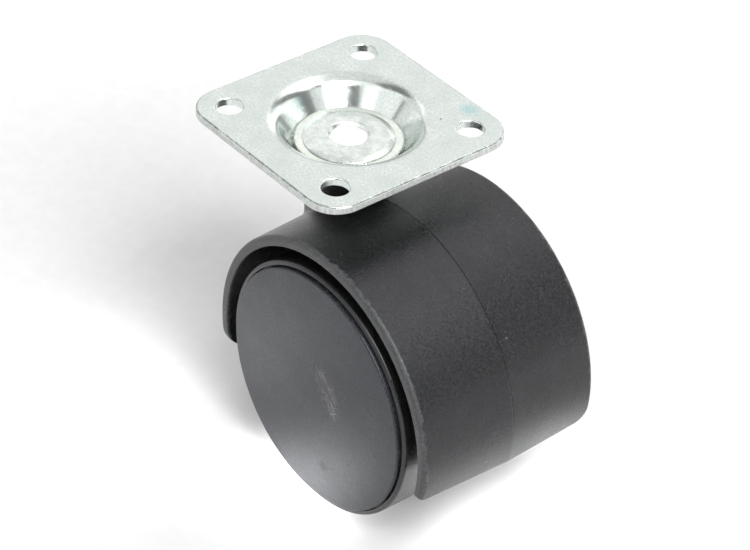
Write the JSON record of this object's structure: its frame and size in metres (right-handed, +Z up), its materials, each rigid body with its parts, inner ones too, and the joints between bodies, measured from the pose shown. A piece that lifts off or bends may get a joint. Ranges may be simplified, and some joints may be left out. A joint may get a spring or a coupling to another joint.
{
  "type": "twin wheel swivel caster",
  "caption": "Swivel caster for chairs and small furniture: a square screw-on steel plate over a plastic hood, with side-by-side wheels on one trailing axle.",
  "frame": {"origin": "point where the swivel axis meets the top face of the mounting plate", "axes": "+Z up along the swivel axis, out of the plate's top face; +X the side on which the wheels trail; Y along the axle, square to the plate's edges, with the left wheel at -Y"},
  "size_m": [0.0708, 0.0432, 0.067],
  "materials": {
    "zinc_plate": "zinc plated, satin with fine speckle",
    "pin_steel": "zinc plated, bright satin",
    "inner_steel": "plain ground steel",
    "spring_steel": "oiled spring steel",
    "hood_nylon": "black moulded nylon, fine grain",
    "wheel_nylon": "black moulded nylon, matte",
    "cap_nylon": "dark grey moulded nylon, matte, light scuffs",
    "bush_acetal": "natural acetal"
  },
  "bodies": {
    "plate_set": {"top_plate": "zinc_plate", "kingpin": "pin_steel", "head_washer": "pin_steel", "thrust_washer": "inner_steel", "stem_snap_ring": "spring_steel"},
    "swivel_hood": {"hood": "hood_nylon", "stem_sleeve": "inner_steel", "axle": "inner_steel", "left_spacer_washer": "inner_steel", "right_spacer_washer": "inner_steel", "left_axle_clip": "spring_steel", "right_axle_clip": "spring_steel"},
    "left_wheel_set": {"left_wheel": "wheel_nylon", "left_wheel_cap": "cap_nylon", "left_hub_bush": "bush_acetal"},
    "right_wheel_set": {"right_wheel": "wheel_nylon", "right_wheel_cap": "cap_nylon", "right_hub_bush": "bush_acetal"}
  },
  "joints": [
    {"name": "swivel", "type": "hinge", "parent": "plate_set", "child": "swivel_hood", "pos_m": [0, 0, 0], "axis": [0, 0, 1], "continuous": true},
    {"name": "left_wheel_spin", "type": "hinge", "parent": "swivel_hood", "child": "left_wheel_set", "pos_m": [0.0179, 0, -0.0419], "axis": [0, 1, 0], "continuous": true},
    {"name": "right_wheel_spin", "type": "hinge", "parent": "swivel_hood", "child": "right_wheel_set", "pos_m": [0.0179, 0, -0.0419], "axis": [0, 1, 0], "continuous": true}
  ]
}
